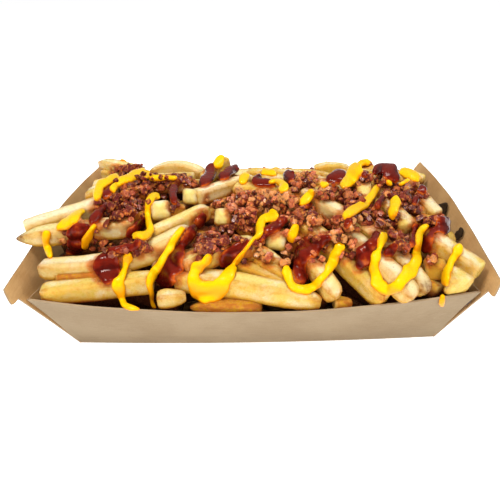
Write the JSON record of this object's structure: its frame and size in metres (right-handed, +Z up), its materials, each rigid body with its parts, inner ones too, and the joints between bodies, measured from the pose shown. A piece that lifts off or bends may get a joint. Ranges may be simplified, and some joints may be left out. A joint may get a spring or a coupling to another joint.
{
  "type": "loaded fries in a card tray",
  "caption": "Folded kraft-card tray heaped with straight-cut fries, bacon dice, cheese sauce and barbecue sauce.",
  "frame": {"origin": "middle of the underside of the tray's base", "axes": "+X along the tray, +Y towards its back side panel, +Z up"},
  "size_m": [0.2369, 0.1681, 0.0707],
  "materials": {
    "kraft_card": "matte unbleached kraft card",
    "fried_potato": "soft golden fried potato",
    "bacon": "cooked cured bacon, slightly greasy",
    "cheese_sauce": "smooth glossy cheese sauce",
    "barbecue_sauce": "thick glossy barbecue sauce"
  },
  "bodies": {
    "root": {"tray": "kraft_card", "fries": "fried_potato"}
  },
  "joints": []
}
